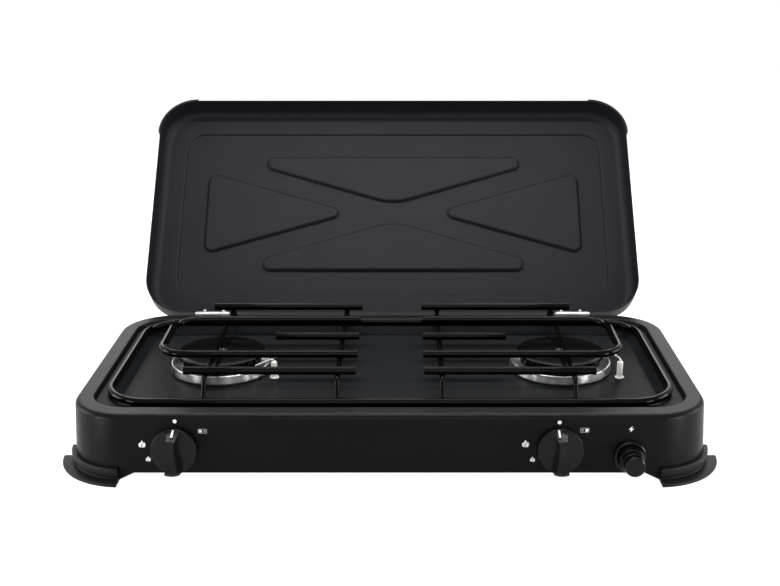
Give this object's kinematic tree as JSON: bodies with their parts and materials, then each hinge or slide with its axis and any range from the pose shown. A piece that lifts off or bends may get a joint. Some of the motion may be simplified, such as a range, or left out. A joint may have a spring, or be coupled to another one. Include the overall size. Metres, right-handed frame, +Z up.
{
  "type": "camping gas stove",
  "caption": "Tabletop two-burner camping gas stove with a hinged pressed-steel lid, wire pan support, turn knobs, push igniter and rear hose inlet.",
  "frame": {"origin": "centre of the bounding box with the lid open, on the plane that the feet stand on", "axes": "+X to the right as seen from the front panel, +Y to the back where the lid is hinged, +Z up"},
  "size_m": [0.563, 0.482, 0.2532],
  "materials": {
    "housing_paint": "matte black powder coat",
    "tray_paint": "matte black powder coat",
    "lid_paint": "matte black powder coat",
    "foot_rubber": "moulded black rubber",
    "guard_plastic": "moulded black plastic",
    "rod_enamel": "glossy black enamel",
    "bright_steel": "spun bright steel",
    "burner_enamel": "black enamelled casting",
    "zinc_steel": "zinc plated steel",
    "turned_brass": "turned brass",
    "tube_aluminium": "drawn tube",
    "glazed_ceramic": "glazed white ceramic",
    "lead_silicone": "grey silicone",
    "knob_plastic": "moulded black plastic"
  },
  "bodies": {
    "base": {"base_housing": "housing_paint", "hob_tray": "tray_paint", "front_left_foot": "foot_rubber", "front_right_foot": "foot_rubber", "rear_left_foot": "foot_rubber", "rear_right_foot": "foot_rubber", "left_burner_cup": "bright_steel", "right_burner_cup": "bright_steel", "left_burner_head": "burner_enamel", "right_burner_head": "burner_enamel", "left_burner_cap": "burner_enamel", "right_burner_cap": "burner_enamel", "foot_screws": "zinc_steel", "burner_cap_screws": "zinc_steel", "burner_nuts": "zinc_steel", "tap_screws": "zinc_steel", "support_clips": "zinc_steel", "left_hinge_base_leaf": "zinc_steel", "right_hinge_base_leaf": "zinc_steel", "hinge_pins": "zinc_steel", "hinge_base_screws": "zinc_steel", "igniter_nut": "zinc_steel", "igniter_spring": "zinc_steel", "electrode_wires": "zinc_steel", "left_tap_body": "turned_brass", "right_tap_body": "turned_brass", "injectors": "turned_brass", "inlet_nozzle": "turned_brass", "inlet_nut": "turned_brass", "gas_manifold": "tube_aluminium", "left_mixing_tube": "tube_aluminium", "right_mixing_tube": "tube_aluminium", "left_electrode_insulator": "glazed_ceramic", "right_electrode_insulator": "glazed_ceramic", "left_ignition_lead": "lead_silicone", "right_ignition_lead": "lead_silicone", "igniter_body": "knob_plastic"},
    "lid": {"lid_panel": "lid_paint", "lid_left_corner_guard": "guard_plastic", "lid_right_corner_guard": "guard_plastic", "left_hinge_lid_leaf": "zinc_steel", "right_hinge_lid_leaf": "zinc_steel", "hinge_lid_screws": "zinc_steel"},
    "pan_support": {"support_rim": "rod_enamel", "left_support_loop": "rod_enamel", "right_support_loop": "rod_enamel", "front_support_bars": "rod_enamel", "rear_support_bars": "rod_enamel", "short_support_bars": "rod_enamel", "support_cross_wires": "rod_enamel"},
    "left_tap_plug": {"left_tap_plug": "turned_brass", "left_tap_spring": "zinc_steel"},
    "right_tap_plug": {"right_tap_plug": "turned_brass", "right_tap_spring": "zinc_steel"},
    "left_knob": {"left_knob": "knob_plastic", "left_spindle": "zinc_steel"},
    "right_knob": {"right_knob": "knob_plastic", "right_spindle": "zinc_steel"},
    "igniter_button": {"igniter_button": "knob_plastic"}
  },
  "joints": [
    {"name": "lid_hinge", "type": "hinge", "parent": "base", "child": "lid", "pos_m": [0, 0.05393, 0.0575], "axis": [-1, 0, 0], "range_deg": [-131, 0]},
    {"name": "pan_support_swing", "type": "hinge", "parent": "base", "child": "pan_support", "pos_m": [0, 0.02943, 0.0573], "axis": [-1, 0, 0], "range_deg": [0, 95]},
    {"name": "left_tap_turn", "type": "hinge", "parent": "base", "child": "left_tap_plug", "pos_m": [-0.1765, -0.21409, 0.029], "axis": [0, -0.9986, 0.0523], "range_deg": [0, 112]},
    {"name": "left_knob_push", "type": "slide", "parent": "left_tap_plug", "child": "left_knob", "axis": [0, 0.9986, -0.0523], "range_m": [0, 0.0025], "stiffness_N_per_m": 1200, "springref_m": -0.001, "deforming": ["left_tap_spring"]},
    {"name": "right_tap_turn", "type": "hinge", "parent": "base", "child": "right_tap_plug", "pos_m": [0.1405, -0.21409, 0.029], "axis": [0, -0.9986, 0.0523], "range_deg": [0, 112]},
    {"name": "right_knob_push", "type": "slide", "parent": "right_tap_plug", "child": "right_knob", "axis": [0, 0.9986, -0.0523], "range_m": [0, 0.0025], "stiffness_N_per_m": 1200, "springref_m": -0.001, "deforming": ["right_tap_spring"]},
    {"name": "igniter_push", "type": "slide", "parent": "base", "child": "igniter_button", "axis": [0, 0.9986, -0.0523], "range_m": [0, 0.005], "stiffness_N_per_m": 1600, "springref_m": -0.001, "deforming": ["igniter_spring"]}
  ]
}
